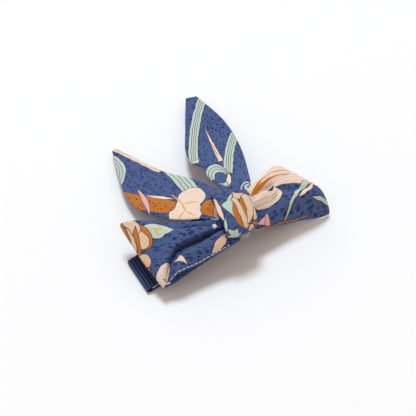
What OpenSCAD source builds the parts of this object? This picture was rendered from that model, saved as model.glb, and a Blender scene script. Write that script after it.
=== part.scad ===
// Fabric hair bow on a ribbon-lined alligator clip.
// Working frame: X runs along the clip from its mouth to its rear end, Y runs across it
// towards the tails, and Z is up from the surface that the clip lies on.
// "Near" means the -Y edge of a piece of cloth and "far" means its +Y edge.

/* [Clip] */
// Length of the clip's upper arm, mouth to rear end
clip_len = 45; // [42:1:50]
// Width of the upper arm
arm_w = 8.4; // [8:0.1:9]
// Thickness of the upper arm's sheet metal
arm_t = 0.7; // [0.5:0.05:0.8]
// Angle at which the front of the upper arm rises from the mouth
rise = 14.5; // [14:0.1:15]
// Distance from the mouth to the bend where the upper arm levels out
bend_x = 22; // [21:0.5:23]
// Width of the lower jaw
jaw_w = 6.6; // [6:0.1:7]
// Thickness of the lower jaw's sheet metal
jaw_t = 0.6; // [0.5:0.05:0.7]
// Distance from the mouth to the lower jaw's front end
jaw_x = 6; // [6:0.5:8]
// Distance from the mouth to the end of the finger lever
lever_x = 43.8; // [42:0.1:44.5]
// Height of a tooth
tooth_h = 0.4; // [0.3:0.05:0.5]
// Distance between two teeth
tooth_pitch = 1.2; // [1:0.1:1.6]
// Number of teeth on each side of the jaw
tooth_count = 7; // [4:1:7]

/* [Hinge] */
// Distance from the mouth to the hinge pin
hinge_x = 27.5; // [27:0.1:28.5]
// Height of the hinge pin
hinge_z = 4.45; // [4.4:0.01:4.5]
// Radius of the hinge pin
pin_r = 0.75; // [0.6:0.05:0.8]
// Radial clearance of the turning ears on the pin
pin_clear = 0.05; // [0.02:0.01:0.1]
// Thickness of a hinge ear
ear_t = 0.6; // [0.4:0.05:0.6]
// Radius of a hinge ear round the pin
ear_r = 1.4; // [1.2:0.05:1.4]
// Radius of the torsion spring's wire
wire_r = 0.25; // [0.2:0.01:0.26]
// Mean radius of the torsion spring's coil
coil_r = 1.12; // [1.08:0.01:1.14]
// Whole turns in the coil, before the last half turn
coil_turns = 5; // [3:1:5]
// Length of each spring leg
leg_len = 6.5; // [4:0.5:8]

/* [Ribbon] */
// Width of the grosgrain ribbon
ribbon_w = 10; // [9:0.5:11]
// Thickness of the ribbon
ribbon_t = 0.45; // [0.3:0.05:0.5]
// Thickness of the glue between ribbon and metal
glue_t = 0.05; // [0.02:0.01:0.08]
// Distance from the mouth to the end of the ribbon's lower layer
lining_x = 21; // [18:0.5:21]

/* [Cloth] */
// Thickness of the sewn cloth strip
cloth_t = 0.8; // [0.6:0.1:1]

/* [Knot] */
// Centre of the knot
knot_at = [26.4, -1.2, 10.8]; // [-5:0.1:30]
// Width of the knot along the clip
knot_w = 9.2; // [7:0.2:10]
// Length of the knot across the clip
knot_l = 14.4; // [12:0.2:16]
// Height of the knot
knot_h = 6.2; // [6:0.1:6.4]

/* [Left loop] */
// Middle of the left loop's root, inside the knot
left_root = [24.2, -4.2, 9.6]; // [-5:0.1:30]
// Length of the left loop along its near edge and its far edge
left_reach = [21.2, 22.6]; // [15:0.1:30]
// Place of the left loop's near edge and far edge at the fold
left_end_y = [-8.2, 11]; // [-12:0.1:12]
// Height of the fold at its near edge and its far edge
left_end_z = [4.2, 8]; // [3:0.1:9]
// How far the loop's upper and lower layers stand from its middle
left_puff = [2, 1]; // [0.9:0.1:3]

/* [Right loop] */
// Middle of the right loop's root, inside the knot
right_root = [29.2, -1.4, 10]; // [-5:0.1:40]
// Length of the right loop along its near edge and its far edge
right_reach = [21.6, 14.2]; // [10:0.1:25]
// Place of the right loop's near edge and far edge at the fold
right_end_y = [-7, 6.4]; // [-12:0.1:12]
// Height of the fold at its near edge and its far edge, before it hangs down
right_end_z = [8.8, 9.4]; // [7:0.1:10]
// How far the loop's upper and lower layers stand from its middle
right_puff = [2.2, 0.9]; // [0.9:0.1:3]
// How far the fold of the right loop swells outward in its middle
right_swell = 0.4; // [0:0.1:3]
// How far the near edge of the right loop hangs down beside the clip
right_hang = 6.8; // [0:0.1:7]

/* [Left tail] */
// Middle of the left tail's root, inside the knot
tail_l_root = [24.4, -0.6, 9.6]; // [-5:0.1:30]
// Direction of the left tail, from the X axis
tail_l_heading = 105; // [90:1:115]
// Length of the left tail
tail_l_len = 40.2; // [30:0.1:45]
// Height of the left tail's tip
tail_l_tip_z = 1.6; // [1:0.1:3]
// Swell of the left tail's edges, outer edge then inner edge
tail_l_belly = [7, 1.6]; // [0:0.1:7]

/* [Right tail] */
// Middle of the right tail's root, inside the knot
tail_r_root = [28.9, 1.6, 9.8]; // [-5:0.1:40]
// Direction of the right tail, from the X axis
tail_r_heading = 75; // [65:1:90]
// Length of the right tail
tail_r_len = 44.6; // [35:0.5:46]
// Height of the right tail's tip
tail_r_tip_z = 2; // [1:0.1:3]
// Swell of the right tail's edges, outer edge then inner edge
tail_r_belly = [3.6, 3.6]; // [0:0.1:7]

/* [Stitches] */
// Number of stitches along the near edge of the left loop
stitch_count = 6; // [3:1:9]
// Length of a stitch
stitch_len = 0.9; // [0.6:0.1:1.2]

/* [Hidden] */

// Middle of the whole object's footprint, which becomes the origin
footprint = [25.43, 18.25];

// Clip metal, as lines through the middle of the sheet in the XZ plane
tip_r = arm_t / 2 + glue_t + ribbon_t;
tip_x = 0.9;
bend_z = tip_r + (bend_x - tip_x) * tan(rise);
arm_line = [[tip_x, tip_r], [bend_x, bend_z], [clip_len, bend_z]];
arm_under = bend_z - arm_t / 2;
ribbon_top = bend_z + tip_r;
jaw_gap = 0.1;
jaw_level = 2.6;
jaw_drop = tip_r + jaw_gap + tooth_h + jaw_t / 2;
jaw_z = tip_r + (jaw_x - tip_x) * tan(rise) - jaw_drop / cos(rise);
jaw_line = [
  [jaw_x, jaw_z],
  [jaw_x + (jaw_level - jaw_z) / tan(rise), jaw_level],
  [hinge_x + 1, jaw_level],
  [lever_x, jaw_t / 2],
];
lever_slope = (jaw_level - jaw_t / 2) / (lever_x - hinge_x - 1);
fixed_clear = 0.01;
coil_half = 1.9;

// Cloth
root_half = 3.4;
fold_swell = 0.4;
hollow_start = 0.3;
tail_root_half = 2.6;
tail_tip_half = 0.9;
round_steps = 28;
along_steps = 18;
across_steps = 10;
$fn = 48;

// Value between a and b
function mix(a, b, t) = a * (1 - t) + b * t;

// List in the opposite order
function flip(list) = [for (i = [len(list) - 1:-1:0]) list[i]];

// Line moved sideways by d, with mitred corners
function beside(line, d) = [
  for (i = [0:len(line) - 1])
    let (
      before = line[max(i, 1)] - line[max(i, 1) - 1],
      after = line[min(i, len(line) - 2) + 1] - line[min(i, len(line) - 2)],
      a = before / norm(before),
      middle = a + after / norm(after),
      m = middle / norm(middle)
    )
    line[i] + [-m.y, m.x] * d / (a * m)
];

// Outline of a sheet of thickness t along a line
function sheet_outline(line, t) = concat(beside(line, t / 2), flip(beside(line, -t / 2)));

// Half circle round the upper arm's front end, from above it to below it
function mouth_arc(r) = [for (i = [0:24]) let (a = 90 + rise + 7.5 * i) arm_line[0] + r * [cos(a), sin(a)]];

// Extrudes an outline drawn in the XZ plane to a width centred on Y
module along_y(w) rotate([90, 0, 0]) linear_extrude(w, center = true) children();

// Puts a plate drawn in the XZ plane with its middle at a given Y
module plate(y, t) translate([0, y, 0]) along_y(t) children();

// Cylinder along Y through the hinge axis
module on_hinge(r, l) translate([hinge_x, 0, hinge_z]) rotate([90, 0, 0]) cylinder(r = r, h = l, center = true);

// Solid swept through equal sections, either closed into a ring or capped at both ends
module sweep(sections, ring = false) {
  n = len(sections);
  m = len(sections[0]);
  last = ring ? n - 1 : n - 2;
  walls = [
    for (i = [0:last], j = [0:m - 1])
      let (a = i * m + j, b = i * m + (j + 1) % m, c = (i + 1) % n * m + j, d = (i + 1) % n * m + (j + 1) % m)
      each [[a, b, d], [a, d, c]]
  ];
  caps = ring ? [] : [
    for (j = [0:m / 2 - 2], e = [0, n - 1])
      let (a = e * m + j, b = a + 1, c = e * m + m - 2 - j, d = c + 1)
      each e == 0 ? [[a, d, b], [b, d, c]] : [[a, b, d], [b, c, d]]
  ];
  polyhedron([for (s = sections) each s], concat(walls, caps));
}

// Point on a loop of cloth. turn goes once round the loop, 0 at the knot and 180 at the
// fold, and v goes across the cloth, -1 at the near edge and 1 at the far edge. thin is
// the cloth taken off to reach the loop's inside.
function loop_point(side, root, reach, end_y, end_z, puff, swell, hang, turn, v, thin) =
  let (
    w = (v + 1) / 2,
    round = (1 - cos(turn)) / 2,
    full = mix(reach[0], reach[1], w) + swell * (1 - v * v),
    out = thin == 0 ? round : mix(hollow_start, 1 - thin / full, round),
    stand = (turn < 180 ? puff[0] : puff[1]) - thin,
    lift = 1.3 * stand * sin(turn) * sin(turn / 2),
    droop = hang * out * pow(max(0, -2 * v - 1), 3)
  )
  [
    root.x + side * full * out,
    mix(root.y + v * root_half, mix(end_y[0], end_y[1], w), out),
    mix(root.z, mix(end_z[0], end_z[1], w), out) + lift - droop
  ];

// Loop of cloth, hollow inside and open at both edges
module cloth_loop(side, root, reach, end_y, end_z, puff, swell, hang) {
  // the row of points runs the other way on the left side, so that faces look outward on both
  across = [for (i = [0:across_steps]) side * sin(mix(-90, 90, i / across_steps))];
  sweep([
    for (k = [0:round_steps - 1])
      let (turn = 360 * k / round_steps)
      concat(
        [for (v = across) loop_point(side, root, reach, end_y, end_z, puff, swell, hang, turn, v, 0)],
        [for (v = flip(across)) loop_point(side, root, reach, end_y, end_z, puff, swell, hang, turn, v, cloth_t)]
      )
  ], true);
}

// Tail of cloth: a leaf that falls from its root in the knot to its pointed tip
module cloth_tail(root, heading, len, tip_z, belly) {
  ahead = [cos(heading), sin(heading), 0];
  left = [-sin(heading), cos(heading), 0];
  // the outer edge is on the side that the tail leans to
  lean = heading > 90 ? 1 : -1;
  sweep([
    for (k = [0:along_steps])
      let (
        a = k / along_steps,
        half = mix(tail_root_half, tail_tip_half, a),
        outer = half + belly[0] * sin(180 * pow(a, 0.75)),
        inner = half + belly[1] * sin(180 * pow(a, 0.75)),
        z = mix(tip_z, root.z, pow(1 - a, 2)),
        row = [
          for (i = [0:across_steps])
            let (v = mix(-1, 1, i / across_steps))
            [root.x, root.y, 0] + ahead * a * len + left * v * (v * lean > 0 ? outer : inner)
              + [0, 0, z + 0.5 * (1 - v * v) * sin(180 * a)]
        ]
      )
      concat(
        [for (p = row) p + [0, 0, cloth_t / 2]],
        [for (p = flip(row)) p - [0, 0, cloth_t / 2]]
      )
  ]);
}

// Upper arm of the clip with its two hinge ears
module upper_arm() color("silver") difference() {
  union() {
    along_y(arm_w) polygon(sheet_outline(arm_line, arm_t));
    along_y(arm_w) translate(arm_line[0]) circle(arm_t / 2);
    for (s = [-1, 1]) plate(s * (arm_w - ear_t) / 2, ear_t) {
      translate([hinge_x, hinge_z]) circle(ear_r);
      translate([hinge_x - ear_r, hinge_z]) square([2 * ear_r, bend_z - hinge_z]);
    }
  }
  on_hinge(pin_r + fixed_clear, 2 * arm_w);
}

// Lower jaw: toothed prong, hinge ears and finger lever
module lower_jaw() color("silver") difference() {
  union() {
    along_y(jaw_w) polygon(sheet_outline(jaw_line, jaw_t));
    for (s = [-1, 1]) plate(s * (jaw_w - ear_t) / 2, ear_t) {
      translate([hinge_x, hinge_z]) circle(ear_r);
      translate([hinge_x - ear_r, jaw_level]) square([2 * ear_r, hinge_z - jaw_level]);
    }
    for (s = [-1, 1], k = [0:tooth_count - 1]) plate(s * (jaw_w - ear_t) / 2, ear_t)
      translate(jaw_line[0]) rotate(rise) translate([(k + 0.2) * tooth_pitch, jaw_t / 2 - 0.05])
        polygon([[0, 0], [tooth_pitch * 0.8, 0], [tooth_pitch * 0.4, tooth_h + 0.05]]);
  }
  on_hinge(pin_r + pin_clear, 2 * arm_w);
}

// Riveted hinge pin, fixed in the upper arm's ears
module hinge_pin() color("lightgray") {
  head_t = 0.35;
  on_hinge(pin_r, arm_w + 2 * head_t);
  for (s = [-1, 1]) translate([0, s * (arm_w + head_t) / 2, 0]) on_hinge(1.6 * pin_r, head_t);
}

// Straight piece of spring wire along the clip at a given Y
module wire(y, from, to) {
  way = to - from;
  translate([from.x, y, from.y]) rotate([0, 90 - atan2(way.y, way.x), 0]) cylinder(r = wire_r, h = norm(way));
}

// Coil of the torsion spring with the leg that presses on the upper arm
module spring_coil() color("gray") {
  sides = 8;
  steps = 18;
  turns = coil_turns + 0.5;
  rings = turns * steps;
  sweep([
    for (k = [0:rings])
      let (a = 90 + 360 * k / steps, y = mix(coil_half, -coil_half, k / rings))
      [
        for (j = [0:sides - 1])
          let (b = -360 * (j + 0.5) / sides, r = coil_r + wire_r * cos(b))
          [hinge_x + r * cos(a), y + wire_r * sin(b), hinge_z + r * sin(a)]
      ]
  ]);
  wire(coil_half, [hinge_x, hinge_z + coil_r], [hinge_x + leg_len, arm_under - wire_r - 0.02]);
}

// Leg of the torsion spring that presses on the finger lever
module spring_leg() color("gray") {
  start_x = hinge_x + 0.1;
  end_x = start_x + leg_len;
  lever_top = jaw_level - (end_x - hinge_x - 1) * lever_slope + jaw_t / 2;
  wire(-coil_half, [start_x, hinge_z - coil_r], [end_x, lever_top + wire_r + 0.03]);
}

// Ribbon over the upper arm, round its mouth and back under it
module ribbon_lining() color("midnightblue") along_y(ribbon_w) {
  inside = arm_t / 2 + glue_t;
  top = beside(arm_line, tip_r);
  top_inside = beside(arm_line, inside);
  under = arm_line[0] + [cos(rise), sin(rise)] * (lining_x - tip_x) / cos(rise);
  down = [sin(rise), -cos(rise)];
  polygon(concat(
    [top[2], top[1]],
    mouth_arc(tip_r),
    [under + down * tip_r, under + down * inside],
    flip(mouth_arc(inside)),
    [top_inside[1], top_inside[2]]
  ));
}

// Pad of hot glue between the ribbon and the knot
module glue_pad() color("ivory")
  translate([knot_at.x, knot_at.y, ribbon_top]) cylinder(r = 3, h = knot_at.z - knot_h / 2 - ribbon_top + 0.2);

// Bead of hot glue at the left side of the knot
module glue_bead() color("white") translate([20.2, -2.2, 10.1]) sphere(r = 0.6, $fn = 24);

// Bunched cloth inside the knot
module knot_core() color("steelblue") {
  inner_l = knot_l / 2 - cloth_t - 0.1;
  inner_h = knot_h / 2 - cloth_t - 0.1;
  sweep([
    for (k = [0:12])
      let (v = mix(-1, 1, k / 12), s = sqrt(1.06 - v * v * 0.75))
      [
        for (j = [0:23])
          let (a = 360 * (j + 0.5) / 24)
          [knot_at.x + v * knot_w * 0.4, knot_at.y + inner_l * s * sin(a) * 0.97, knot_at.z + inner_h * s * cos(a) * 0.97]
      ]
  ]);
}

// Band of cloth wrapped once round the bow and under it
module knot_wrap() color("steelblue") {
  across = [for (i = [0:8]) sin(mix(-90, 90, i / 8))];
  sweep([
    for (k = [0:35])
      let (a = -10 * k, around = [0, sin(a), cos(a)])
      concat(
        [
          for (v = across)
            let (pull = 0.9 * pow(v, 4))
            [knot_at.x + v * knot_w / 2, knot_at.y + (knot_l / 2 - pull) * around.y, knot_at.z + (knot_h / 2 - pull * 0.5) * around.z]
        ],
        [
          for (v = flip(across))
            let (pull = cloth_t + 0.1 * pow(v, 4))
            [knot_at.x + v * knot_w / 2, knot_at.y + (knot_l / 2 - 0.9 * pow(v, 4) - pull) * around.y,
             knot_at.z + (knot_h / 2 - 0.45 * pow(v, 4) - pull) * around.z]
        ]
      )
  ], true);
}

// Loop that covers the front of the clip
module left_loop() color("steelblue")
  cloth_loop(-1, left_root, left_reach, left_end_y, left_end_z, left_puff, fold_swell, 0);

// Loop that covers the rear of the clip
module right_loop() color("steelblue")
  cloth_loop(1, right_root, right_reach, right_end_y, right_end_z, right_puff, right_swell, right_hang);

// Tail that leans over the front of the clip
module left_tail() color("cornflowerblue")
  cloth_tail(tail_l_root, tail_l_heading, tail_l_len, tail_l_tip_z, tail_l_belly);

// Tail that leans over the rear of the clip
module right_tail() color("cornflowerblue")
  cloth_tail(tail_r_root, tail_r_heading, tail_r_len, tail_r_tip_z, tail_r_belly);

// Stitches that close the strip's seam, along the near edge of the left loop's upper layer
module seam_stitches() color("wheat")
  for (k = [0:stitch_count - 1])
    let (
      turn = 92 + 8 * k,
      p = loop_point(-1, left_root, left_reach, left_end_y, left_end_z, left_puff, fold_swell, 0, turn, -0.93, 0)
    )
    translate(p + [0, 0, 0.02]) rotate([0, 90, 0]) cylinder(r = 0.14, h = stitch_len, center = true, $fn = 16);

module placed() translate([-footprint.x, -footprint.y, 0]) children();

placed() upper_arm();
placed() lower_jaw();
placed() hinge_pin();
placed() spring_coil();
placed() spring_leg();
placed() ribbon_lining();
placed() glue_pad();
placed() glue_bead();
placed() knot_core();
placed() knot_wrap();
placed() left_loop();
placed() right_loop();
placed() left_tail();
placed() right_tail();
placed() seam_stitches();
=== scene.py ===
# Fabric hair bow on a ribbon-lined alligator clip: its looks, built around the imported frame.
# Lengths are in millimetres in the clip's own frame and become metres in the row frame:
# x runs along the clip from its mouth, y runs across it towards the tails, z is up.
import math

import bmesh
import bpy
import numpy as np
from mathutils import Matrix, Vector


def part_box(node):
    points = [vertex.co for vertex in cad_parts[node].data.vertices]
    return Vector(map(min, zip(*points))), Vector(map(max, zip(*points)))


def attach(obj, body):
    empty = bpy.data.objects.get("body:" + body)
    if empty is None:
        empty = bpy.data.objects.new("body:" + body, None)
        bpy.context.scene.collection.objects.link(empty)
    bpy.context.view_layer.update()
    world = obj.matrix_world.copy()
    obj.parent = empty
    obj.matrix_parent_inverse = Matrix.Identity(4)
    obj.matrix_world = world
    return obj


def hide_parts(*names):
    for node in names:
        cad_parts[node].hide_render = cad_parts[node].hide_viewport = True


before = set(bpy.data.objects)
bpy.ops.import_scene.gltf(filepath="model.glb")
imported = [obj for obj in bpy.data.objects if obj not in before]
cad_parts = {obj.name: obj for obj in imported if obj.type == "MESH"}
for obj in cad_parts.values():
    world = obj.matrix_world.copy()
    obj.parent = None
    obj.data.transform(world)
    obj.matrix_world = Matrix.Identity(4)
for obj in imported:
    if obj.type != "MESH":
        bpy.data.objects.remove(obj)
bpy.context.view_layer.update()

MM = 0.001

# ---------------------------------------------------------------- driving dimensions

# the clip
HINGE = (27.5, 0.0, 4.45)  # the hinge pin's centre, which ties this frame to the CAD
RISE = math.radians(14.5)  # slope of the clip's front
CLIP_LEN = 45.0
TIP_X = 0.9  # where the arm's middle line starts, at the mouth
BEND_X = 22.0  # where the arm levels out
ARM_T = 0.7
COIL_TURNS = 5.5
COIL_R = 1.12
COIL_HALF_W = 1.9
WIRE_R = 0.25
LEG_LEN = 6.5  # reach of the spring's upper leg behind the hinge
LEG_Z = 5.69  # height of that leg's end, under the arm

# the ribbon
GLUE_T = 0.05
RIBBON_T = 0.45
RIBBON_W = 10.0
RIB_PITCH = 0.8
RIB_RISE = 0.26  # height of a rib's crest above the groove
RIB_SINK = 0.18  # depth of the groove below the ribbon's face
RIBBON_STEP = 0.08  # distance between two points along the ribbon's mesh
LINING_X = 21.0  # where the ribbon's lower layer ends

# the cloths
CLOTH_T = 0.62  # two layers of cotton, pressed flat
HEADING_L = math.radians(105)
HEADING_R = math.radians(75)
KNOT_AT = (26.4, -1.0, 10.8)
KNOT_HALF_W = 4.7
KNOT_RY = 6.6
KNOT_RZ = 2.9
KNOT_ROUND = 34.0  # way round the knot along the cloth
THREAD_PITCH = 0.36  # of the weave
WANDER = 0.45  # how far the print's edges stray

# glue and thread
BEAD_R = (0.62, 0.7, 0.45)
GLUE_THREAD_R = 0.07
GLUE_LINE_R = 0.16
STITCHES = 16
STITCH_LEN = 0.8
STITCH_R = 0.09
STITCH_POINTS = 7
NEAR_EDGE = 21.0  # about the way from the knot to the left loop's end, along its near edge

# the view
CAMERA_TURN = math.radians(29.8)
CAMERA_DOWN = math.radians(50.6)
CAMERA_FAR = 350.0
AIM = (25.7, 10.7, 0.0)
SENSOR_W = 36.0
LENS = 121.15
FLOOR_HALF = 1.5  # metres

GRAIN_SPAN = 60.0  # the length over which a plain material's noise counts its grains
MIX_SHARE, MIX_UNDER, MIX_OVER, MIX_RESULT = 0, 6, 7, 2  # sockets of a colour mix node
UP = np.array([0, 0, 1])

pin_low, pin_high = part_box("hinge_pin")
ORIGIN = (pin_low + pin_high) / 2 / MM - Vector(HINGE)


def place(points):
    """Points in the clip's frame, in mm, as metres in the row frame."""
    return (np.asarray(points, float) + np.array(ORIGIN)) * MM


# ---------------------------------------------------------------- small maths


def mix(a, b, t):
    return a * (1 - t) + b * t


def step(low, high, x):
    """Smooth step from 0 at low to 1 at high."""
    t = np.clip((x - low) / (high - low), 0, 1)
    return t * t * (3 - 2 * t)


def follow(rows, x):
    """Smooth curve through rows of (x, value), for an array of x."""
    xs = np.array([r[0] for r in rows], float)
    ys = np.array([r[1] for r in rows], float)
    slope = np.gradient(ys, xs)
    x = np.clip(x, xs[0], xs[-1])
    i = np.clip(np.searchsorted(xs, x, side="right") - 1, 0, len(xs) - 2)
    h = xs[i + 1] - xs[i]
    t = (x - xs[i]) / h
    return (
        (2 * t**3 - 3 * t**2 + 1) * ys[i]
        + (t**3 - 2 * t**2 + t) * h * slope[i]
        + (3 * t**2 - 2 * t**3) * ys[i + 1]
        + (t**3 - t**2) * h * slope[i + 1]
    )


def bump(x, centre, width):
    """Bell shape, 1 at the centre."""
    return np.exp(-(((x - centre) / width) ** 2))


def ripple(a, b, seed):
    """Soft irregular waves, the sum of a few slanted sines."""
    rng = np.random.default_rng(seed)
    total = 0
    for k in range(5):
        fa, fb, phase = rng.uniform(0.5, 1.6), rng.uniform(-1.4, 1.4), rng.uniform(0, 6.28)
        total = total + np.sin(fa * a + fb * b + phase) / (k + 1.5)
    return total / 2


# ---------------------------------------------------------------- meshes


def add_object(name, data):
    obj = bpy.data.objects.new(name, data)
    bpy.context.scene.collection.objects.link(obj)
    return obj


def shade_smooth(mesh):
    for face in mesh.polygons:
        face.use_smooth = True


def mesh_object(name, points, faces, flat=None):
    """Object from points in the row frame, with flat cloth coordinates kept in a UV map."""
    mesh = bpy.data.meshes.new(name)
    mesh.from_pydata([tuple(p) for p in points], [], faces)
    if flat is not None:
        layer = mesh.uv_layers.new(name="flat_cloth")
        loops = np.zeros(len(mesh.loops), np.int32)
        mesh.loops.foreach_get("vertex_index", loops)
        layer.data.foreach_set("uv", np.asarray(flat, np.float32)[loops].ravel())
    bm = bmesh.new()
    bm.from_mesh(mesh)
    bmesh.ops.remove_doubles(bm, verts=bm.verts, dist=2e-7)
    bmesh.ops.recalc_face_normals(bm, faces=bm.faces)
    bm.to_mesh(mesh)
    bm.free()
    shade_smooth(mesh)
    return add_object(name, mesh)


def cloth(
    name,
    middle,
    flat,
    steps,
    thick=CLOTH_T,
    u_range=(0.0, 1.0),
    ends=(False, False),
    ring=False,
    inward=False,
):
    """Closed cloth solid round a middle surface.

    middle(u, v) and flat(u, v) take arrays, with v from -1 to 1 across the cloth. The
    long edges are rounded folds. ends tells which of the two short ends is rounded too, and
    ring joins them instead. The face that carries the print has the normal u cross v, or
    the opposite one if inward is true.
    """
    nu, nv = steps
    u = np.linspace(u_range[0], u_range[1], nu + (0 if ring else 1), endpoint=not ring)
    v = np.sin(np.linspace(-math.pi / 2, math.pi / 2, nv + 1))
    uu, vv = np.meshgrid(u, v, indexing="ij")
    mid = middle(uu, vv)
    e = 1e-3
    du = middle(uu + e, vv) - middle(uu - e, vv)
    dv = middle(uu, np.clip(vv + e, -1, 1)) - middle(uu, np.clip(vv - e, -1, 1))
    normal = np.cross(du, dv)
    normal /= np.maximum(np.linalg.norm(normal, axis=-1, keepdims=True), 1e-9)
    if inward:
        normal = -normal
    half = thick / 2 * np.sqrt(np.clip(1 - np.abs(vv) ** 14, 0, 1))
    along = (uu - u_range[0]) / (u_range[1] - u_range[0])
    if ends[0]:
        half = half * np.sqrt(np.clip(1 - (1 - along) ** 60, 0, 1))
    if ends[1]:
        half = half * np.sqrt(np.clip(1 - along**60, 0, 1))
    top = mid + normal * half[..., None]
    under = mid - normal * half[..., None]
    points = np.concatenate([top, under[:, -2:0:-1]], axis=1)
    n, m = points.shape[:2]
    coords = np.stack(flat(uu, vv), axis=-1)
    width = coords[..., 0].max() - coords[..., 0].min()
    back = coords.copy()
    back[..., 0] = 2 * coords[..., 0].max() - coords[..., 0] + 0.1 * width
    coords = np.concatenate([coords, back[:, -2:0:-1]], axis=1)
    index = np.arange(n * m).reshape(n, m)
    faces = []
    for i in range(n if ring else n - 1):
        a, b = index[i], index[(i + 1) % n]
        for j in range(m):
            k = (j + 1) % m
            faces.append((a[j], a[k], b[k], b[j]))
    if not ring:
        faces.append(tuple(index[0][::-1]))
        faces.append(tuple(index[-1]))
    return mesh_object(name, place(points.reshape(-1, 3)), faces, coords.reshape(-1, 2))


def rod(name, path, radius, sides=12):
    """Round wire or thread along a path of points in the clip's frame, with closed ends."""
    way = np.gradient(path, axis=0)
    way /= np.linalg.norm(way, axis=1, keepdims=True)
    side = np.cross(way[0], [0.3, 0.2, 1.0])
    turn = np.linspace(0, 2 * math.pi, sides, endpoint=False)[:, None]
    rings = []
    for p, w in zip(path, way):
        side = side - w * side.dot(w)
        side /= np.linalg.norm(side)
        other = np.cross(w, side)
        rings.append(p + radius * (np.cos(turn) * side + np.sin(turn) * other))
    points = np.array(rings)
    n = len(points)
    index = np.arange(n * sides).reshape(n, sides)
    faces = [tuple(index[0][::-1]), tuple(index[-1])]
    for i in range(n - 1):
        for j in range(sides):
            k = (j + 1) % sides
            faces.append((index[i][j], index[i][k], index[i + 1][k], index[i + 1][j]))
    return mesh_object(name, place(points.reshape(-1, 3)), faces)


# ---------------------------------------------------------------- shader arithmetic


class Field:
    """A number that varies over the surface, kept as a shader socket."""

    def __init__(self, tree, socket):
        self.tree, self.socket = tree, socket

    def _math(self, operation, *others):
        node = self.tree.nodes.new("ShaderNodeMath")
        node.operation = operation
        for slot, value in zip(node.inputs, (self, *others)):
            if isinstance(value, Field):
                self.tree.links.new(value.socket, slot)
            else:
                slot.default_value = value
        return Field(self.tree, node.outputs[0])

    def __add__(self, o):
        return self._math("ADD", o)

    def __sub__(self, o):
        return self._math("SUBTRACT", o)

    def __mul__(self, o):
        return self._math("MULTIPLY", o)

    def __neg__(self):
        return self._math("MULTIPLY", -1.0)

    def abs(self):
        return self._math("ABSOLUTE")

    def sin(self):
        return self._math("SINE")

    def least(self, o):
        return self._math("MINIMUM", o)

    def most(self, o):
        return self._math("MAXIMUM", o)

    def hypot(self, o):
        return (self * self + o * o)._math("SQRT")

    def inside(self, soft=0.05):
        """1 where the field is below 0, fading to 0 over a width of soft."""
        node = self.tree.nodes.new("ShaderNodeMapRange")
        node.interpolation_type = "SMOOTHSTEP"
        node.inputs["From Min"].default_value = soft
        node.inputs["From Max"].default_value = -soft
        self.tree.links.new(self.socket, node.inputs["Value"])
        return Field(self.tree, node.outputs["Result"])


def rgb(r, g, b):
    """Linear colour from 0-255 display values."""
    shares = (r / 255, g / 255, b / 255)
    linear = (c / 12.92 if c <= 0.04045 else ((c + 0.055) / 1.055) ** 2.4 for c in shares)
    return (*linear, 1.0)


BLUE = rgb(64, 88, 137)
BLUE_DASH = rgb(20, 42, 90)
MAUVE = rgb(88, 96, 136)
MINT = rgb(190, 208, 196)
CREAM = rgb(238, 214, 196)
SAND = rgb(226, 194, 164)
ORANGE = rgb(190, 114, 42)
PINK = rgb(226, 172, 176)
MUSTARD = rgb(222, 166, 52)
LINE = rgb(58, 46, 56)
HATCH = rgb(150, 120, 110)
NAVY = rgb(5, 9, 34)
# painted highlight colour for the crests of the ribbon's ribs
NAVY_RIB_HIGHLIGHT = rgb(40, 62, 132)


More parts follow.
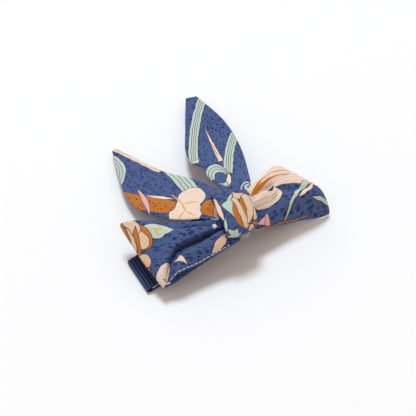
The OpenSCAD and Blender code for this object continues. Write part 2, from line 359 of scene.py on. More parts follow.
class Print:
    """Printed cotton, painted shape by shape in the cloth's flat coordinates, in mm."""

    def __init__(self, name):
        self.material = bpy.data.materials.new(name)
        self.material.use_nodes = True
        self.tree = self.material.node_tree
        self.tree.nodes.clear()
        uv = self.tree.nodes.new("ShaderNodeUVMap")
        uv.uv_map = "flat_cloth"
        self.uv = uv.outputs["UV"]
        split = self._node("ShaderNodeSeparateXYZ", Vector=self.uv)
        self.clean_x = Field(self.tree, split.outputs["X"])
        self.clean_y = Field(self.tree, split.outputs["Y"])
        wobble = self._node("ShaderNodeTexNoise", Vector=self.uv, Scale=0.5, Detail=1.0)
        shift = self._node("ShaderNodeSeparateXYZ", Vector=wobble.outputs["Color"])
        self.x = self.clean_x + (Field(self.tree, shift.outputs["X"]) - 0.5) * WANDER
        self.y = self.clean_y + (Field(self.tree, shift.outputs["Y"]) - 0.5) * WANDER
        self.colour = self._ground()

    def _node(self, kind, **inputs):
        node = self.tree.nodes.new(kind)
        for key, value in inputs.items():
            if isinstance(value, bpy.types.NodeSocket):
                self.tree.links.new(value, node.inputs[key])
            else:
                node.inputs[key].default_value = value
        return node

    def _stretched(self, sx, sy):
        mapping = self._node("ShaderNodeMapping", Vector=self.uv)
        mapping.inputs["Scale"].default_value = (sx, sy, 1)
        return mapping.outputs["Vector"]

    def _blend(self, amount, under, over):
        node = self.tree.nodes.new("ShaderNodeMix")
        node.data_type = "RGBA"
        for at, value in ((MIX_SHARE, amount), (MIX_UNDER, under), (MIX_OVER, over)):
            slot = node.inputs[at]
            if isinstance(value, Field):
                value = value.socket
            if isinstance(value, bpy.types.NodeSocket):
                self.tree.links.new(value, slot)
            else:
                slot.default_value = value
        return node.outputs[MIX_RESULT]

    def _ground(self):
        """Blue ground with a mauve cast and short darker dashes along the cloth."""
        cast = self._node("ShaderNodeTexNoise", Vector=self._stretched(3.4, 1.6), Scale=1.0, Detail=3.0)
        cast = (Field(self.tree, cast.outputs["Fac"]) - 0.56).inside(0.16)
        colour = self._blend(cast, MAUVE, BLUE)
        cells = self._node("ShaderNodeTexVoronoi", Vector=self._stretched(2.1, 0.8), Scale=1.0)
        cells.inputs["Randomness"].default_value = 0.75
        dash = (Field(self.tree, cells.outputs["Distance"]) - 0.41).inside(0.13)
        return self._blend(dash * 0.9, colour, BLUE_DASH)

    # shapes: each is a field that is negative inside
    def disc(self, cx, cy, r):
        return (self.x - cx).hypot(self.y - cy) - r

    def oval(self, cx, cy, a, b, turn=0):
        """Ellipse with half axes a across and b along, turned clockwise by turn degrees."""
        c, s = math.cos(math.radians(turn)), math.sin(math.radians(turn))
        dx, dy = self.x - cx, self.y - cy
        return (((dx * c - dy * s) * (1 / a)).hypot((dx * s + dy * c) * (1 / b)) - 1) * min(a, b)

    def path(self, start, end, bend=0.0):
        """Place along a bowed line, from 0 at its start to 1 at its end, and distance from it.

        The distance is positive on the line's right. bend is how far its middle bows right.
        """
        (x0, y0), (x1, y1) = start, end
        length = math.hypot(x1 - x0, y1 - y0)
        ux, uy = (x1 - x0) / length, (y1 - y0) / length
        dx, dy = self.x - x0, self.y - y0
        along = (dx * ux + dy * uy) * (1 / length)
        off = dx * uy - dy * ux
        if bend:
            off = off - along * (-along + 1) * (4 * bend)
        return along, off, length

    def leaf(self, start, end, half, bend=0.0):
        """Leaf with two pointed ends."""
        along, off, _ = self.path(start, end, bend)
        return off.abs() - along * (-along + 1) * (4 * half)

    def spike(self, start, end, half, bend=0.0):
        """Point at its start that widens towards its end."""
        along, off, length = self.path(start, end, bend)
        return (off.abs() - along * half).most((along - 1) * length)

    def band(self, start, end, half, bend=0.0, round_end=False):
        """Strip of even width; with round_end both ends are rounded."""
        along, off, length = self.path(start, end, bend)
        if round_end:
            over = ((along - 0.5).abs() - 0.5) * length
            return off.hypot(over.most(0.0)) - half
        return (off.abs() - half).most(((along - 0.5).abs() - 0.5) * length)

    def corner(self, *points):
        """Convex shape with straight sides, from its corners taken clockwise."""
        field = None
        for (x0, y0), (x1, y1) in zip(points, points[1:] + points[:1]):
            length = math.hypot(x1 - x0, y1 - y0)
            side = -((self.x - x0) * ((y1 - y0) / length) - (self.y - y0) * ((x1 - x0) / length))
            field = side if field is None else field.most(side)
        return field

    # painting
    def fill(self, field, colour, outline=0.13, hatch=0.0, dots=False):
        """Paints the inside of a shape, with a drawn outline of that half width round it.

        hatch is how strong the fine lines along the cloth are, and dots adds dark spots.
        """
        if outline:
            self.colour = self._blend((field - outline).inside(), self.colour, LINE)
        if hatch:
            wave = (self.x * 9.0 + self.y * 1.5).sin()
            colour = self._blend((wave + 0.4).inside(0.5) * hatch, colour, HATCH)
        if dots:
            cells = self._node("ShaderNodeTexVoronoi", Vector=self._stretched(1.25, 0.9), Scale=1.0)
            cells.inputs["Randomness"].default_value = 0.5
            spot = (Field(self.tree, cells.outputs["Distance"]) - 0.25).inside(0.06)
            colour = self._blend(spot, colour, LINE)
        self.colour = self._blend(field.inside(), self.colour, colour)

    def stroke(self, field, colour, width, limit=None):
        """Paints a stroke of that half width along a line or an arc, inside limit."""
        body = field.abs() - width
        if limit is not None:
            body = body.most(limit)
        self.colour = self._blend(body.inside(0.04), self.colour, colour)

    def streak(self, start, end, half, bend=0.0, lines=(), colour=MINT, hatch=0.12):
        """Band motif with fine lines along it, at the given shares of its half width."""
        body = self.band(start, end, half, bend)
        self.fill(body, colour, hatch=hatch)
        for at in lines:
            off = self.path(start, end, bend)[1]
            self.stroke(off - at * half, LINE, 0.07, body)

    def hoop(self, cx, cy, r, half, limit, lines=(), colour=MINT):
        """Band motif that follows a circle, inside limit."""
        away = self.disc(cx, cy, r)
        body = (away.abs() - half).most(limit)
        self.fill(body, colour, hatch=0.12)
        for at in lines:
            self.stroke(away - at * half, LINE, 0.07, body)

    def vein(self, start, end, bend=0.0, colour=MUSTARD, half=0.15):
        """Fine line that is thicker at its middle."""
        blade = self.leaf(start, end, half * 1.3, bend)
        core = self.band(start, end, half * 0.5, bend)
        self.fill(blade.least(core), colour, outline=0)

    def finish(self):
        """Adds the weave and the cotton's soft shading."""
        warp = (self.clean_x * (2 * math.pi / THREAD_PITCH)).sin()
        weft = (self.clean_y * (2 * math.pi / THREAD_PITCH)).sin()
        weave = warp * weft
        slub = self._node("ShaderNodeTexNoise", Vector=self.uv, Scale=2.6, Detail=4.0, Roughness=0.65)
        slub = Field(self.tree, slub.outputs["Fac"])
        value = self._node("ShaderNodeHueSaturation", Color=self.colour, Saturation=1.0)
        tone = weave * 0.1 + (slub - 0.5) * 0.8 + 1.0
        self.tree.links.new(tone.socket, value.inputs["Value"])
        height = weave * 0.5 + slub * 1.4
        bump = self._node("ShaderNodeBump", Strength=0.32, Distance=0.00009, Height=height.socket)
        shader = self._node("ShaderNodeBsdfPrincipled", Normal=bump.outputs["Normal"], Metallic=0.0)
        self.tree.links.new(value.outputs["Color"], shader.inputs["Base Color"])
        rough = slub * 0.12 + 0.78
        self.tree.links.new(rough.socket, shader.inputs["Roughness"])
        shader.inputs["Sheen Weight"].default_value = 0.08
        shader.inputs["Sheen Roughness"].default_value = 0.5
        shader.inputs["Specular IOR Level"].default_value = 0.25
        out = self.tree.nodes.new("ShaderNodeOutputMaterial")
        self.tree.links.new(shader.outputs["BSDF"], out.inputs["Surface"])
        return self.material


def plain_material(
    name,
    colour,
    roughness,
    metallic=0.0,
    noise=60.0,
    spread=0.12,
    bump=0.1,
    bump_mm=0.02,
    **sockets,
):
    """Material with colour, roughness and bump that vary with fine noise."""
    material = bpy.data.materials.new(name)
    material.use_nodes = True
    tree = material.node_tree
    nodes, links = tree.nodes, tree.links
    shader = nodes["Principled BSDF"]
    coords = nodes.new("ShaderNodeTexCoord")
    grain = nodes.new("ShaderNodeTexNoise")
    grain.inputs["Scale"].default_value = noise / (GRAIN_SPAN * MM)
    grain.inputs["Detail"].default_value = 4
    links.new(coords.outputs["Object"], grain.inputs["Vector"])
    tint = nodes.new("ShaderNodeMix")
    tint.data_type = "RGBA"
    darker = (c * (1 - spread) for c in colour[:3])
    lighter = (min(1, c * (1 + spread)) for c in colour[:3])
    tint.inputs[MIX_UNDER].default_value = (*darker, 1)
    tint.inputs[MIX_OVER].default_value = (*lighter, 1)
    links.new(grain.outputs["Fac"], tint.inputs[MIX_SHARE])
    links.new(tint.outputs[MIX_RESULT], shader.inputs["Base Color"])
    rough = nodes.new("ShaderNodeMapRange")
    rough.inputs["To Min"].default_value = max(0, roughness - 0.1)
    rough.inputs["To Max"].default_value = min(1, roughness + 0.1)
    links.new(grain.outputs["Fac"], rough.inputs["Value"])
    links.new(rough.outputs["Result"], shader.inputs["Roughness"])
    relief = nodes.new("ShaderNodeBump")
    relief.inputs["Strength"].default_value = bump
    relief.inputs["Distance"].default_value = bump_mm * MM
    links.new(grain.outputs["Fac"], relief.inputs["Height"])
    links.new(relief.outputs["Normal"], shader.inputs["Normal"])
    shader.inputs["Metallic"].default_value = metallic
    for key, value in sockets.items():
        shader.inputs[key.replace("_", " ")].default_value = value
    return material


# ---------------------------------------------------------------- the printed cloths


def right_tail_print():
    """x runs across the tail from its left to its right, y from the knot to the tip."""
    p = Print("right_tail_print")
    p.streak((2.1, 42.4), (-6.4, 18.2), 1.15, 0.9, (-0.45, 0.0, 0.45))
    p.fill(p.corner((-8.0, 18.6), (-4.8, 19.0), (-5.2, 17.6)), MINT)
    p.fill(p.spike((-0.4, 30.4), (0.0, 16.0), 0.62), CREAM)
    p.vein((-0.3, 24.0), (-0.1, 16.6), colour=LINE, half=0.06)
    p.streak((6.6, 26.4), (0.5, 10.6), 1.1, 0.6, (-0.45, 0.0, 0.45))
    above = -(p.y - 9.4)
    p.fill(p.oval(-2.3, 11.0, 2.5, 4.4).most(above), MINT, hatch=0.12)
    p.stroke(p.oval(-2.15, 10.5, 2.15, 3.8), LINE, 0.07, above)
    p.stroke(p.oval(-2.0, 9.9, 1.8, 3.2), LINE, 0.07, above)
    p.fill(p.oval(-1.8, 8.9, 1.4, 2.7), BLUE, outline=0.16)
    p.fill(p.leaf((0.6, 10.4), (-0.9, 4.4), 0.45, 0.1), CREAM)
    p.fill(p.corner((-3.0, 6.6), (-0.9, 7.0), (-0.9, 5.0)), MINT)
    for r in (1.0, 1.9):
        p.stroke(p.disc(3.6, 2.6, r), MINT, 0.25)
    return p.finish()


def left_tail_print():
    """x runs across the tail from its left to its right, y from the knot to the tip."""
    p = Print("left_tail_print")
    p.fill(p.band((0.6, 42.0), (2.3, 25.4), 0.2), MINT)
    p.fill(p.band((-0.1, 41.6), (1.5, 25.8), 0.42), CREAM, hatch=0.5)
    p.streak((4.3, 27.6), (0.5, 13.0), 1.75, -0.4, (-0.5, 0.0, 0.5))
    p.hoop(-9.6, 38.4, 7.0, 1.05, p.disc(-4.5, 35.0, 5.6), (-0.45, 0.25))
    p.fill(p.oval(-0.9, 12.0, 3.3, 3.6).least(p.oval(-5.2, 9.6, 3.9, 4.6, 30)), CREAM, hatch=0.06)
    p.fill(p.leaf((-6.4, 22.6), (-3.2, 15.6), 0.4), CREAM)
    p.fill(p.band((-10.4, 27.4), (-5.9, 15.2), 2.05, 0.2, round_end=True), ORANGE, dots=True)
    p.fill(p.leaf((-6.2, 25.8), (-10.0, 17.4), 0.62, -0.5), PINK)
    for start, end in (
        ((-2.4, 17.2), (-3.4, 12.4)),
        ((-3.3, 12.8), (-4.8, 9.8)),
        ((-3.3, 12.6), (-0.8, 9.4)),
        ((-4.7, 10.2), (-7.8, 9.6)),
        ((-4.7, 10.2), (-4.9, 6.4)),
    ):
        p.vein(start, end)
    p.fill(p.oval(-0.9, 5.0, 2.5, 2.9, 20), ORANGE, dots=True)
    p.fill(p.leaf((-0.2, 4.6), (-3.9, -0.8), 0.6), PINK)
    return p.finish()


def left_loop_print():
    """x runs from the loop's near edge to its far edge, y from the knot round the loop."""
    p = Print("left_loop_print")
    p.fill(p.oval(4.2, 16.2, 2.4, 2.0).least(p.leaf((6.2, 18.4), (2.6, 12.8), 1.8)), MINT, hatch=0.1)
    p.vein((5.6, 17.8), (2.9, 13.8))
    p.vein((4.6, 16.4), (2.3, 16.2))
    p.vein((4.4, 15.8), (5.0, 14.2))
    p.fill(p.oval(4.0, 20.0, 3.7, 2.4), ORANGE)
    p.fill(p.oval(3.2, 20.1, 2.5, 1.55), SAND, hatch=0.12)
    p.fill(p.oval(7.0, 21.0, 2.5, 2.3), SAND, hatch=0.12)
    p.fill(p.leaf((6.8, 19.6), (-0.6, 21.9), 0.62, 0.3), ORANGE)
    p.fill(p.oval(4.6, 21.9, 3.4, 0.85, 4), SAND, hatch=0.12)
    p.fill(p.leaf((9.6, 21.6), (1.0, 22.8), 0.5), ORANGE)
    p.fill(p.oval(-1.8, 22.2, 1.9, 1.5), SAND, hatch=0.12)
    p.fill(p.disc(-4.0, 22.6, 0.8), ORANGE)
    p.fill(p.leaf((-4.3, 17.1), (-10.2, 22.5), 1.15, 0.7), CREAM, hatch=0.15)
    p.fill(p.corner((-3.8, 14.5), (-6.2, 14.6), (-4.8, 16.5)), CREAM)
    p.fill(p.leaf((-0.9, 1.8), (-4.7, 7.9), 0.8), SAND, hatch=0.15)
    p.fill(p.leaf((-8.2, 21.0), (-9.6, 19.6), 0.25), MINT)
    return p.finish()


def right_loop_print():
    """x runs from the loop's near edge to its far edge, y from the knot round the loop."""
    p = Print("right_loop_print")
    far = p.oval(7.0, 9.5, 5.7, 11.0, -6)
    roll = p.oval(0.5, 5.4, 2.4, 4.6, -6)
    end = p.band((2.6, 12.0), (-1.6, 19.0), 1.7, 0.6)
    p.fill(far.least(roll).least(end), CREAM, hatch=0.22)
    for start, end, bend in (((3.4, 16.8), (2.3, 3.2), -1.4), ((2.4, 15.4), (2.6, 4.2), -0.8)):
        stroke = p.spike(start, end, 0.36, bend).least(p.band(start, end, 0.13, bend))
        p.fill(stroke, ORANGE, outline=0)
    # dark leaf in the valley above the roll: painted shade
    p.fill(p.leaf((0.4, 6.2), (1.7, 10.0), 0.26), LINE, outline=0)
    p.fill(p.leaf((-0.5, 6.6), (0.4, 9.4), 0.08), LINE, outline=0)
    p.fill(p.leaf((-1.1, 6.2), (-0.3, 9.0), 0.08), LINE, outline=0)
    p.fill(p.spike((-5.2, 6.2), (-0.9, 16.6), 0.6, 0.3), MINT)
    p.fill(p.leaf((-1.5, 18.0), (-3.3, 11.8), 0.36, 0.3), CREAM)
    p.fill(p.leaf((-4.2, 14.6), (-5.8, 19.4), 0.32), MINT)
    triangle = p.corner((-3.3, 0.6), (-4.7, 3.2), (-2.8, 3.9))
    p.fill(triangle, PINK)
    p.stroke(p.path((-4.0, 2.2), (-2.8, 3.2))[1], LINE, 0.06, triangle)
    p.fill(p.band((-4.35, -0.5), (-5.7, 12.5), 0.18), ORANGE, outline=0.1)
    return p.finish()


def knot_print():
    """x runs across the band from its left to its right, y round the knot from its near side."""
    p = Print("knot_print")
    p.fill(p.corner((-3.1, 12.3), (0.1, 14.2), (-1.4, 8.4)), MINT, hatch=0.1)
    p.fill(p.leaf((-4.1, 15.2), (-3.9, 9.2), 0.6), CREAM)
    p.fill(p.leaf((-3.5, 9.7), (-4.5, 5.6), 0.35), MINT)
    p.fill(p.leaf((0.1, 12.6), (0.9, 4.6), 1.05, 0.85), ORANGE)
    p.fill(p.leaf((1.9, 13.2), (1.2, 6.7), 0.75), ORANGE)
    p.fill(p.band((0.2, 12.6), (0.7, 5.8), 0.52, -0.1, round_end=True), SAND, hatch=0.15)
    p.fill(p.band((4.1, 12.4), (4.2, 9.6), 0.5, -0.2, round_end=True), CREAM, hatch=0.15)
    p.fill(p.band((4.0, 8.6), (3.6, 6.7), 0.52, 0, round_end=True), SAND, hatch=0.15)
    p.fill(p.band((2.7, 12.4), (1.9, 6.8), 0.68, -0.6, round_end=True), SAND, hatch=0.15)
    p.fill(p.corner((0.6, 15.6), (2.6, 13.4), (1.4, 12.5), (0.0, 13.1)), SAND, hatch=0.15)
    p.fill(p.leaf((2.7, 6.2), (3.7, 4.4), 0.4), ORANGE)
    p.fill(p.oval(1.9, 4.3, 0.85, 1.2, 22), SAND, hatch=0.15)
    lobes = p.leaf((-3.8, 6.6), (-1.8, 2.8), 0.85).least(p.leaf((-4.4, 3.6), (-1.0, 4.0), 0.8))
    p.fill(lobes.least(p.leaf((-1.9, 6.2), (-3.4, 2.9), 0.7)), MINT, hatch=0.1)
    return p.finish()


# ---------------------------------------------------------------- cloth shapes


def tail_surface(root, heading, length, rows_left, rows_right, rows_z, rows_tilt, seed):
    """Middle surface and flat coordinates of a tail, from its edges' distances and heights."""
    ahead = np.array([math.cos(heading), math.sin(heading), 0])
    right = np.array([math.sin(heading), -math.cos(heading), 0])

    def half(u, v):
        return np.where(v > 0, follow(rows_right, u), follow(rows_left, u))

    def middle(u, v):
        x = v * half(u, v)
        open_part = np.sin(math.pi * np.clip(u, 0, 1))
        dome = 0.5 * (1 - v * v) * open_part
        waves = 0.14 * ripple(0.5 * x, 9 * u, seed) * open_part
        gathers = 0.5 * np.cos(2.5 * math.pi * v + 0.6) * bump(u, 0.06, 0.12)
        z = follow(rows_z, u) + v * follow(rows_tilt, u) + dome + waves + gathers
        foot = np.array([*root, 0.0])
        return foot + ahead * (u * length)[..., None] + right * x[..., None] + UP * z[..., None]

    def flat(u, v):
        return v * half(u, v), u * length

    return middle, flat


def loop_surface(side, root, root_half, root_tilt, reach, end_y, end_z, puff, swell, fold):
    """Middle surface and flat coordinates of a loop. u goes once round it, the top layer first."""

    def parts(u, v):
        turn = 2 * math.pi * u
        out = (1 - np.cos(turn)) / 2
        w = (v + 1) / 2
        full = mix(reach[0], reach[1], w) + swell * (1 - v * v)
        return turn, out, w, full

    def middle(u, v):
        turn, out, w, full = parts(u, v)
        upper = np.sin(turn) > 0
        shut = 1 - 0.8 * step(0.6, 1.0, np.abs(v)) * (1 - step(0.5, 0.9, out))
        lift = 1.3 * np.where(upper, puff[0], puff[1]) * np.sin(turn) * np.sin(turn / 2) * shut
        x = root[0] + side * full * out
        y = mix(root[1] + v * root_half, mix(end_y[0], end_y[1], w), out)
        z = mix(root[2] + v * root_tilt, mix(end_z[0], end_z[1], w), out) + lift
        dx, dy, dz = fold(out, v, np.where(upper, 1.0, 0.0))
        return np.stack([x + dx, y + dy, z + dz], axis=-1)

    def flat(u, v):
        turn, out, w, full = parts(u, v)
        width = mix(root_half, (end_y[1] - end_y[0]) / 2, out)
        length = np.where(np.sin(turn) >= 0, out, 2 - out) * (reach[0] + reach[1]) / 2
        return v * width, length

    return middle, flat


# ---------------------------------------------------------------- camera and light


def build_camera():
    data = bpy.data.cameras.new("camera")
    data.sensor_width = SENSOR_W
    data.lens = LENS
    data.clip_start = 0.01
    camera = add_object("camera", data)
    ahead = math.cos(CAMERA_DOWN)
    look = Vector(
        (math.sin(CAMERA_TURN) * ahead, math.cos(CAMERA_TURN) * ahead, -math.sin(CAMERA_DOWN))
    )
    camera.location = Vector(place(AIM)) - look * CAMERA_FAR * MM
    camera.rotation_euler = look.to_track_quat("-Z", "Y").to_euler()
    bpy.context.scene.camera = camera


def build_key_light():
    """Soft lamp high up behind the bow and a little to the left, as the camera sees it."""
    data = bpy.data.lights.new("key", "AREA")
    data.shape = "DISK"
    data.size = 0.75
    data.energy = 43.0
    data.color = (0.75, 0.9, 1.0)
    distance = 2.5
    behind = Vector((math.sin(CAMERA_TURN), math.cos(CAMERA_TURN), 0))
    aside = Vector((math.cos(CAMERA_TURN), -math.sin(CAMERA_TURN), 0))
    way = (behind * 0.4 - aside * 0.1 + Vector((0, 0, 1))).normalized()
    light = add_object("key", data)
    light.location = Vector(place(AIM)) + way * distance
    light.rotation_euler = (-way).to_track_quat("-Z", "Y").to_euler()


def build_world():
    """Warm light from all round, and a pale backdrop where the camera looks past the floor."""
    world = bpy.data.worlds.new("world")
    bpy.context.scene.world = world
    world.use_nodes = True
    nodes, links = world.node_tree.nodes, world.node_tree.links
    around = nodes["Background"]
    around.inputs["Color"].default_value = (1.0, 0.84, 0.74, 1)
    around.inputs["Strength"].default_value = 0.6
    backdrop = nodes.new("ShaderNodeBackground")
    backdrop.inputs["Color"].default_value = (0.94, 0.95, 0.97, 1)
    seen = nodes.new("ShaderNodeLightPath")
    choice = nodes.new("ShaderNodeMixShader")
    links.new(seen.outputs["Is Camera Ray"], choice.inputs["Fac"])
    links.new(around.outputs["Background"], choice.inputs[1])
    links.new(backdrop.outputs["Background"], choice.inputs[2])
    links.new(choice.outputs["Shader"], nodes["World Output"].inputs["Surface"])
    bpy.context.scene.view_settings.view_transform = "Standard"


def build_floor():
    mesh = bpy.data.meshes.new("floor")
    ways = ((-1, -1), (1, -1), (1, 1), (-1, 1))
    mesh.from_pydata([(x * FLOOR_HALF, y * FLOOR_HALF, 0) for x, y in ways], [], [(0, 1, 2, 3)])
    pale = plain_material("floor", rgb(245, 245, 246), 0.7, noise=0.5, spread=0.01, bump=0.0)
    mesh.materials.append(pale)
    floor = add_object("floor", mesh)


# ---------------------------------------------------------------- the bow


def dress(piece, material, body, nodes):
    """Gives a piece its material and says what it rides on and stands for."""
    piece.data.materials.append(material)
    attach(piece, body)
    if nodes:
        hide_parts(*nodes)
    return piece


def build_right_tail():
    """Rows give (share of the length, mm): the edges' distances, the height and the tilt."""
    middle, flat = tail_surface(
        root=(28.9, 1.6),
        heading=HEADING_R,
        length=44.2,
        rows_left=[
            (0, 2.6),
            (0.14, 3.4),
            (0.26, 4.5),
            (0.37, 5.1),
            (0.41, 6.8),
            (0.46, 7.2),
            (0.75, 4.9),
            (1, 2.0),
        ],
        rows_right=[(0, 3.0), (0.12, 4.6), (0.24, 5.5), (0.46, 6.4), (0.75, 5.1), (1, 0.9)],
        rows_z=[(0, 10.4), (0.08, 10.6), (0.2, 8.6), (0.46, 5.6), (0.75, 3.4), (1, 2.1)],
        rows_tilt=[(0, 0.0), (0.3, 0.3), (1, 0.0)],
        seed=3,
    )
    piece = cloth("right_tail_cloth", middle, flat, (150, 48), ends=(False, True), inward=True)
    dress(piece, right_tail_print(), "bow", ["right_tail"])


def build_left_tail():
    """Rows as in the right tail."""
    middle, flat = tail_surface(
        root=(24.4, -1.8),
        heading=HEADING_L,
        length=41.6,
        rows_left=[
            (0, 2.8),
            (0.1, 4.4),
            (0.2, 6.8),
            (0.35, 9.2),
            (0.48, 10.4),
            (0.64, 9.2),
            (0.85, 4.6),
            (1, 0.6),
        ],
        rows_right=[(0, 2.2), (0.1, 2.9), (0.2, 4.2), (0.36, 4.3), (0.64, 2.1), (0.85, 1.1), (1, 0.5)],
        rows_z=[(0, 10.0), (0.1, 10.2), (0.2, 9.0), (0.34, 6.9), (0.64, 3.7), (0.85, 2.4), (1, 1.6)],
        rows_tilt=[(0, 0.2), (0.3, 1.2), (0.6, 0.5), (1, 0.0)],
        seed=8,
    )
    piece = cloth("left_tail_cloth", middle, flat, (140, 52), ends=(False, True), inward=True)
    dress(piece, left_tail_print(), "bow", ["left_tail"])


def left_loop_fold(out, v, upper):
    """Folds of the left loop: a pocket along its far side, and a deep crease before a roll."""
    crease = follow([(0, 0.6), (0.35, 0.04), (0.7, -0.24), (0.86, -0.62), (1, -1.0)], out)
    behind = v - crease
    rise = step(0.02, 0.12, out)
    fade = 1 - step(0.55, 0.9, out)
    pocket_line = v - mix(0.4, 0.85, out)
    pocket = -2.5 * bump(pocket_line, 0.0, 0.2) * bump(out, 0.36, 0.26)
    ridge = 1.1 * bump(behind, 0.24, 0.22) * (1 - step(0.3, 0.9, out))
    cut = -(1 - step(-0.05, 0.04, behind)) * (1 - step(0.06, 0.5, -behind)) * mix(3.2, 1.5, out)
    roll = 0.5 * bump(behind, -0.5, 0.22) * fade
    dz = upper * rise * (pocket + ridge + cut * (1 - step(0.94, 1.0, out)) + roll)
    dz = dz + 0.12 * ripple(6 * out, 3 * v, 21) * np.sin(math.pi * np.clip(out, 0, 1))
    arch = -0.7 * np.sin(math.pi * out) * bump(v, 1.0, 0.3)
    lap = 0.8 * bump(behind, -0.1, 0.1) - 0.7 * bump(behind, 0.08, 0.1)
    dy = upper * rise * lap * (1 - step(0.7, 0.95, out))
    return 0 * out, dy, dz + arch


def right_loop_fold(out, v, upper):
    """Folds of the right loop: its near corner hangs, and a blunt roll comes out of the knot."""
    hang = 7.0 * out * np.clip(-1.6 * v - 0.6, 0, 1) ** 2.2
    arch = 1.2 * np.sin(math.pi * out**1.3) * step(-0.1, 1.0, v)
    roll = 2.0 * bump(v, 0.05, 0.26) * step(0.0, 0.1, out) * (1 - step(0.3, 0.48, out))
    notch = -1.8 * bump(v, 0.4, 0.12) * bump(out, 0.4, 0.14)
    valley = -1.0 * bump(v + 1.2 * (out - 0.75), -0.25, 0.22) * bump(out, 0.75, 0.22)
    dz = upper * (roll + notch + valley) + arch - hang
    dz = dz + 0.12 * ripple(6 * out, 3 * v, 5) * np.sin(math.pi * np.clip(out, 0, 1))
    return 0 * out, 0 * out, dz


def build_left_loop():
    """Makes the left loop and returns its middle surface, for the stitches along its edge."""
    middle, flat = loop_surface(
        side=-1,
        root=(24.2, -4.8, 9.4),
        root_half=2.9,
        root_tilt=0.9,
        reach=(21.2, 22.6),
        end_y=(-8.2, 11.0),
        end_z=(4.2, 8.0),
        puff=(2.0, 1.0),
        swell=0.4,
        fold=left_loop_fold,
    )
    piece = cloth("left_loop_cloth", middle, flat, (180, 120), u_range=(0.03, 0.97), inward=True)
    dress(piece, left_loop_print(), "bow", ["left_loop"])
    return middle


def build_right_loop():
    middle, flat = loop_surface(
        side=1,
        root=(29.2, -2.0, 9.2),
        root_half=4.4,
        root_tilt=1.6,
        reach=(21.6, 14.4),
        end_y=(-6.2, 6.2),
        end_z=(7.4, 9.2),
        puff=(2.2, 0.8),
        swell=0.3,
        fold=right_loop_fold,
    )
    piece = cloth("right_loop_cloth", middle, flat, (180, 120), u_range=(0.03, 0.97))
    dress(piece, right_loop_print(), "bow", ["right_loop"])


def build_knot():
    """Band of cloth round the bow's middle, and the bunched cloth inside it."""

    def middle(u, v):
        turn = 2 * math.pi * u
        back, up = np.sin(turn), np.cos(turn)
        top = np.clip(up, 0, 1)
        ridge = 0.3 * np.cos(3.2 * math.pi * v + 1.5 * back) * (0.35 + 0.65 * top)
        pull = 0.9 * np.abs(v) ** 4 + 0.7 * bump(v, 0.5 * back - 0.75, 0.1) * step(0.2, 0.7, back)
        far, near = np.clip(back, 0, 1), np.clip(-back, 0, 1)
        x = KNOT_AT[0] + v * (KNOT_HALF_W - 0.8 * far - 0.5 * near) + 1.3 * back
        y = KNOT_AT[1] + (KNOT_RY - pull + ridge) * back - 0.5 * (x - KNOT_AT[0]) * far
        z = KNOT_AT[2] + (KNOT_RZ - 0.6 * pull + ridge) * up
        return np.stack([x, y, z], axis=-1)

    def flat(u, v):
        return v * 4.4, KNOT_ROUND * ((u + 0.35) % 1.0)

    piece = cloth("knot_cloth", middle, flat, (160, 60), ring=True, thick=0.6, inward=True)
    dress(piece, knot_print(), "bow", ["knot_wrap"])

    def core(u, v):
        turn = 2 * math.pi * u
        taper = np.sqrt(np.clip(1.06 - 0.75 * v * v, 0, 1))
        gather = 0.2 * np.cos(9 * turn)
        y = KNOT_AT[1] - 0.2 + (5.3 + gather) * taper * np.sin(turn)
        z = KNOT_AT[2] + (1.9 + gather) * taper * np.cos(turn)
        return np.stack([KNOT_AT[0] + 0.2 + 3.3 * v, y, z], axis=-1)

    piece = cloth("knot_core_cloth", core, flat, (120, 12), ring=True, thick=0.5)
    dress(piece, bpy.data.materials["knot_print"], "bow", ["knot_core"])


def paint_rib_highlights(material):
    """Paints a highlight on the crest of every rib, by the ribbon's flat coordinates."""
    tree = material.node_tree
    uv = tree.nodes.new("ShaderNodeUVMap")
    uv.uv_map = "flat_cloth"
    split = tree.nodes.new("ShaderNodeSeparateXYZ")
    tree.links.new(uv.outputs["UV"], split.inputs["Vector"])
    crest = (Field(tree, split.outputs["Y"]) * (math.pi / RIB_PITCH)).sin().abs()
    shader = tree.nodes["Principled BSDF"]
    base = shader.inputs["Base Color"].links[0].from_socket
    # mixes the painted highlight into the ribbon's colour along every rib crest
    light = tree.nodes.new("ShaderNodeMix")
    light.data_type = "RGBA"
    light.inputs[MIX_OVER].default_value = NAVY_RIB_HIGHLIGHT
    tree.links.new((-(crest - 0.82)).inside(0.16).socket, light.inputs[MIX_SHARE])
    tree.links.new(base, light.inputs[MIX_UNDER])
    tree.links.new(light.outputs[MIX_RESULT], shader.inputs["Base Color"])


def ribbon_section():
    """Ribbon's section along the clip as two rows of (x, z), and the way along it in mm.

    It runs from the arm's rear end to the mouth, round it, and back under the arm. The
    bottom row lies on the arm and the top row carries a rib every pitch.
    """
    inner = ARM_T / 2 + GLUE_T
    outer = inner + RIBBON_T
    tip = np.array([TIP_X, outer])
    along = np.array([math.cos(RISE), math.sin(RISE)])
    up = np.array([-math.sin(RISE), math.cos(RISE)])
    level = CLIP_LEN - BEND_X
    front = (BEND_X - TIP_X) / math.cos(RISE)
    roll = math.pi * (inner + RIBBON_T / 2)
    under = (LINING_X - TIP_X) / math.cos(RISE)
    bend = tip + along * front
    way = np.arange(0, level + front + roll + under, RIBBON_STEP)
    bottom, top = [], []
    for d in way:
        rib = RIB_RISE * abs(math.sin(math.pi * d / RIB_PITCH)) - RIB_SINK
        if d < level:
            base, normal = np.array([CLIP_LEN - d, bend[1]]), np.array([0.0, 1.0])
        elif d < level + front:
            base, normal = bend - along * (d - level), up
        elif d < level + front + roll:
            turn = (d - level - front) / roll * math.pi
            base, normal = tip, up * math.cos(turn) - along * math.sin(turn)
        else:
            base, normal = tip + along * (d - level - front - roll), -up
        bottom.append(base + normal * inner)
        top.append(base + normal * (outer + rib))
    return bottom, top, way


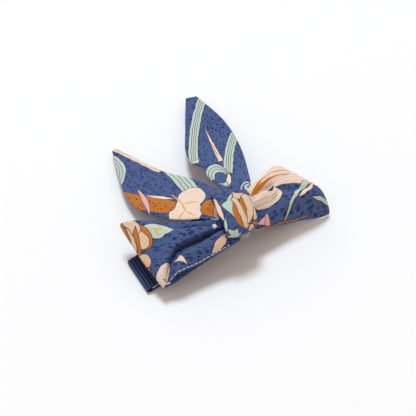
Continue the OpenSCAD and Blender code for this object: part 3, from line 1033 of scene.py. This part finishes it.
def build_ribbon():
    """Ribbon over the arm, round its mouth and back under it."""
    bottom, top, way = ribbon_section()
    loop = np.array(top + bottom[::-1])
    edge = np.array([0.95, 0.985, 1.0])
    shares = np.concatenate([-edge[::-1], np.linspace(-0.9, 0.9, 13), edge])
    across = shares * RIBBON_W / 2
    n, m = len(across), len(loop)
    points = np.zeros((n, m, 3))
    points[..., 0] = loop[:, 0]
    points[..., 1] = across[:, None]
    points[..., 2] = loop[:, 1]
    index = np.arange(n * m).reshape(n, m)
    faces = []
    for i in range(n - 1):
        for j in range(m):
            k = (j + 1) % m
            faces.append((index[i][j], index[i][k], index[i + 1][k], index[i + 1][j]))
    for side in (index[0], index[-1]):
        for j in range(m // 2 - 1):
            faces.append((side[j], side[j + 1], side[m - 2 - j], side[m - 1 - j]))
    run = np.concatenate([way, way[::-1]])
    coords = np.stack(np.broadcast_arrays(points[..., 1], run[None, :]), axis=-1)
    piece = mesh_object("ribbon", place(points.reshape(-1, 3)), faces, coords.reshape(-1, 2))
    material = plain_material(
        "grosgrain",
        NAVY,
        0.5,
        noise=500,
        spread=0.3,
        bump=0.4,
        bump_mm=0.05,
        Sheen_Weight=0.03,
        Specular_IOR_Level=0.3,
    )
    paint_rib_highlights(material)
    dress(piece, material, "bow", ["ribbon_lining"])


def paint_node(node, material):
    """Gives a CAD part that keeps its shape a new material."""
    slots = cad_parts[node].data.materials
    slots.clear()
    slots.append(material)


def build_metal():
    steel = plain_material(
        "nickel_steel", (0.62, 0.6, 0.56, 1), 0.3, metallic=1.0, noise=30, bump=0.15
    )
    rivet = plain_material(
        "rivet_steel", (0.55, 0.53, 0.5, 1), 0.36, metallic=1.0, noise=80, bump=0.15
    )
    paint_node("upper_arm", steel)
    paint_node("lower_jaw", steel)
    paint_node("hinge_pin", rivet)


def build_spring():
    """Wire coil round the hinge, with the leg that presses on the arm."""
    wire = plain_material(
        "spring_wire", (0.42, 0.42, 0.42, 1), 0.34, metallic=1.0, noise=90, bump=0.1
    )
    share = np.linspace(0, 1, 240)
    turn = math.pi / 2 + share * COIL_TURNS * 2 * math.pi
    x = HINGE[0] + COIL_R * np.cos(turn)
    z = HINGE[2] + COIL_R * np.sin(turn)
    coil = np.stack([x, mix(COIL_HALF_W, -COIL_HALF_W, share), z], axis=-1)
    leg_end = [HINGE[0] + LEG_LEN, COIL_HALF_W, LEG_Z]
    leg_root = [HINGE[0] + 0.3, COIL_HALF_W, HINGE[2] + COIL_R]
    leg = np.linspace(leg_end, leg_root, 14)
    piece = rod("spring", np.concatenate([leg, coil]), WIRE_R)
    dress(piece, wire, "bow", ["spring_coil"])
    paint_node("spring_leg", wire)


def build_bead(glue):
    """Uneven bead of glue beside the knot."""
    bm = bmesh.new()
    bmesh.ops.create_icosphere(bm, subdivisions=4, radius=1)
    for vertex in bm.verts:
        n = vertex.co.normalized()
        swell = 1 + 0.18 * math.sin(4 * n.x + 1) * math.cos(3 * n.y)
        vertex.co = Vector((n.x * BEAD_R[0] * swell, n.y * BEAD_R[1] * swell, n.z * BEAD_R[2]))
    mesh = bpy.data.meshes.new("glue_bead_blob")
    bm.to_mesh(mesh)
    bm.free()
    shade_smooth(mesh)
    low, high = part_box("glue_bead")
    centre = (low + high) / 2
    for vertex in mesh.vertices:
        vertex.co = vertex.co * MM + centre
    piece = add_object("glue_bead_blob", mesh)
    dress(piece, glue, "bow", ["glue_bead"])
    return np.array(centre) / MM - np.array(ORIGIN)


def build_glue_thread(glue, start):
    """Thin curl of glue that was drawn out of the bead."""
    turn = np.radians(np.linspace(-80, 190, 60))
    x = 0.6 + 1.9 * np.sin(turn * 0.5 + 0.3)
    y = 2.4 - 1.9 * np.cos(turn * 0.9)
    z = 1.5 + 0.3 * np.sin(turn)
    piece = rod("glue_thread", start + np.stack([x, y, z], axis=-1), GLUE_THREAD_R, 8)
    dress(piece, glue, "bow", [])


def build_glue_line(glue):
    """Glue that was squeezed out along the ribbon's near edge at the mouth."""
    x = np.linspace(1.6, 6.4, 20)
    y = np.full_like(x, 0.2 - RIBBON_W / 2)
    slope = (x - TIP_X) * math.tan(RISE)
    z = ARM_T / 2 + GLUE_T + RIBBON_T + slope + 0.05 * np.sin(5 * x)
    piece = rod("glue_line", np.stack([x, y, z], axis=-1), GLUE_LINE_R, 10)
    dress(piece, glue, "bow", [])


def build_glue():
    glue = plain_material(
        "hot_glue",
        rgb(240, 238, 230),
        0.22,
        noise=20,
        spread=0.04,
        bump=0.3,
        bump_mm=0.05,
        Subsurface_Weight=0.3,
    )
    paint_node("glue_pad", glue)
    bead_at = build_bead(glue)
    build_glue_thread(glue, bead_at)
    build_glue_line(glue)


def build_stitches(middle):
    """Running stitches along the near edge of the left loop's upper layer."""
    thread = plain_material(
        "seam_thread",
        rgb(226, 212, 196),
        0.7,
        noise=200,
        spread=0.2,
        bump=0.5,
        Sheen_Weight=0.3,
    )
    share = np.linspace(-0.45, 0.45, STITCH_POINTS) * STITCH_LEN / NEAR_EDGE
    arch = np.sin(np.linspace(0, math.pi, STITCH_POINTS))
    pieces = []
    for k in range(STITCHES):
        out = mix(0.16, 0.94, k / (STITCHES - 1))
        u = np.arccos(1 - 2 * np.clip(out + share, 0, 1)) / (2 * math.pi)
        path = middle(u, np.full(STITCH_POINTS, -0.95))
        path[:, 1] -= CLOTH_T * 0.1
        path[:, 2] += CLOTH_T * 0.36 + 0.06 * arch
        pieces.append(rod("stitch", path, STITCH_R, 8))
    bpy.ops.object.select_all(action="DESELECT")
    for piece in pieces:
        piece.select_set(True)
    bpy.context.view_layer.objects.active = pieces[0]
    bpy.ops.object.join()
    pieces[0].name = "seam_thread"
    dress(pieces[0], thread, "bow", ["seam_stitches"])


build_camera()
build_key_light()
build_world()
build_floor()
build_right_tail()
build_left_tail()
left_loop_middle = build_left_loop()
build_right_loop()
build_knot()
build_ribbon()
build_metal()
build_spring()
build_glue()
build_stitches(left_loop_middle)
